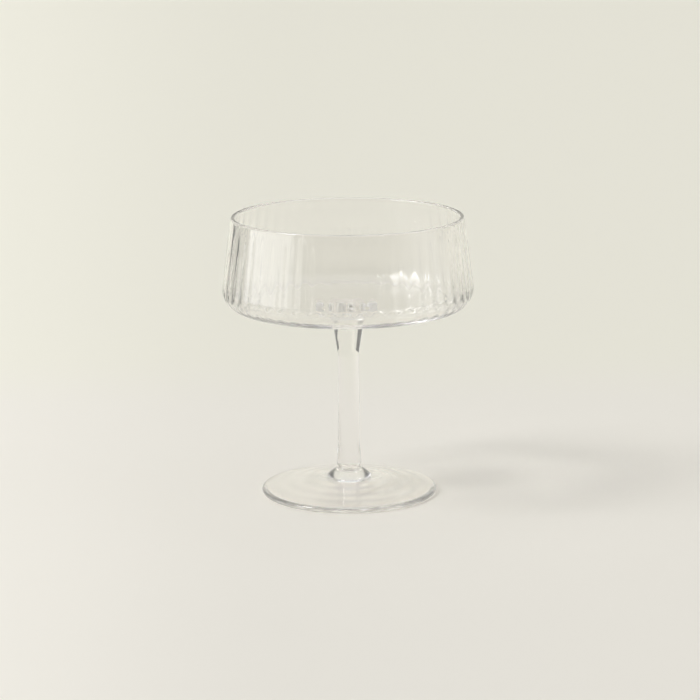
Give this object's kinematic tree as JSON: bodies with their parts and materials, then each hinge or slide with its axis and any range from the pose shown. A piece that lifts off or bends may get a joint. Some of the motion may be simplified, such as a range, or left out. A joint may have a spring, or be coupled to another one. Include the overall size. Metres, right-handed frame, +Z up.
{
  "type": "coupe glass",
  "caption": "Stemmed coupe glass: a shallow, straight-walled bowl with soft vertical ribs and a rounded plain rim, on a slim solid stem and a thin round foot.",
  "frame": {"origin": "under the middle of the foot, on the plane that the glass stands on", "axes": "+Z up along the axis of stem and bowl; +X to the right and +Y away from the viewer in the picture"},
  "size_m": [0.1068, 0.1068, 0.12],
  "materials": {
    "bowl_glass": "clear colourless glass, fire-polished, with soft ribs from an optic mould",
    "stem_glass": "clear colourless drawn glass, smooth and solid",
    "foot_glass": "clear colourless spun glass, smooth, with faint rings from the shaping"
  },
  "bodies": {
    "root": {"bowl": "bowl_glass", "stem": "stem_glass", "foot": "foot_glass"}
  },
  "joints": []
}
